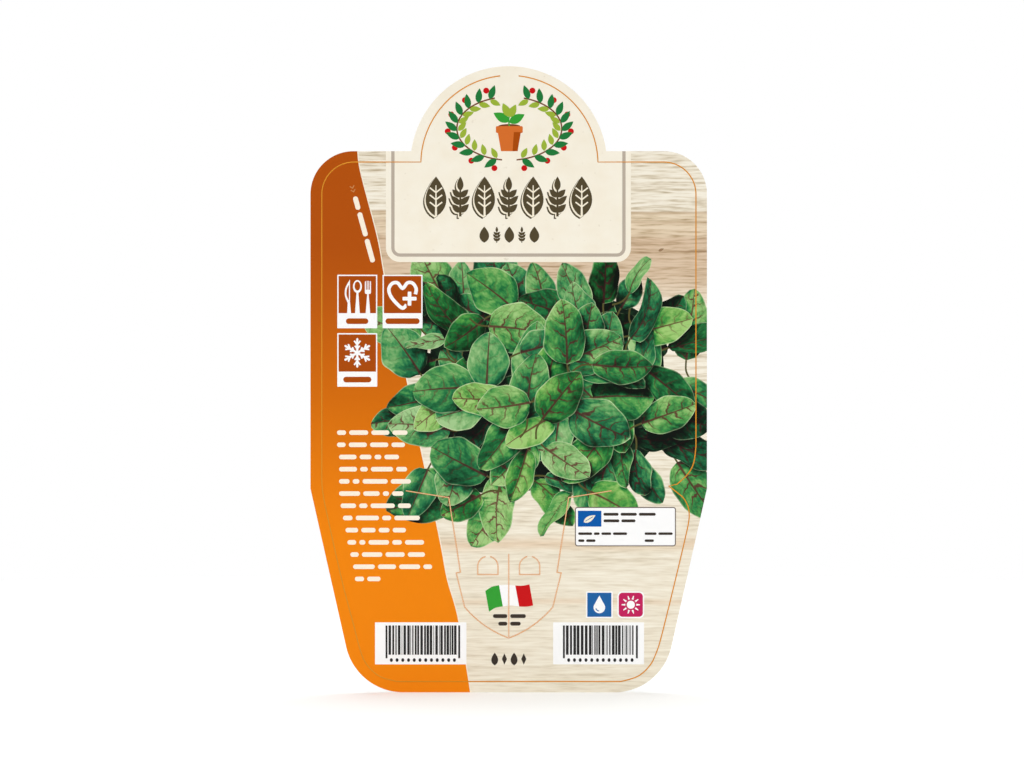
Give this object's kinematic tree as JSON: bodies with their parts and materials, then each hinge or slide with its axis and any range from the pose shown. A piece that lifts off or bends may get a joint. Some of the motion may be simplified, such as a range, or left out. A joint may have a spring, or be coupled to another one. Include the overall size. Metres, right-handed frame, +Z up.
{
  "type": "plant pot label",
  "caption": "Large die-cut plastic plant pot label with an arched head, a printed face and a folding tongue that clips it over the pot's rim.",
  "frame": {"origin": "middle of the tongue's root, halfway through the sheet, where the pot's rim sits", "axes": "+Z up along the label's height, +X to the reader's right, printed face towards -Y"},
  "size_m": [0.133, 0.0006, 0.21],
  "materials": {
    "printed_sheet": "white polypropylene sheet, offset printed in colour on the front under a satin varnish, plain white behind",
    "printed_tongue": "the same printed sheet, mostly the pale wood print"
  },
  "bodies": {
    "sheet": {"label_sheet": "printed_sheet"},
    "tongue": {"rim_tongue": "printed_tongue"}
  },
  "joints": [
    {"name": "tongue_fold", "type": "hinge", "parent": "sheet", "child": "tongue", "pos_m": [0, 0, 0], "axis": [1, 0, 0], "range_deg": [0, 45], "stiffness_Nm_per_rad": 0.02}
  ]
}
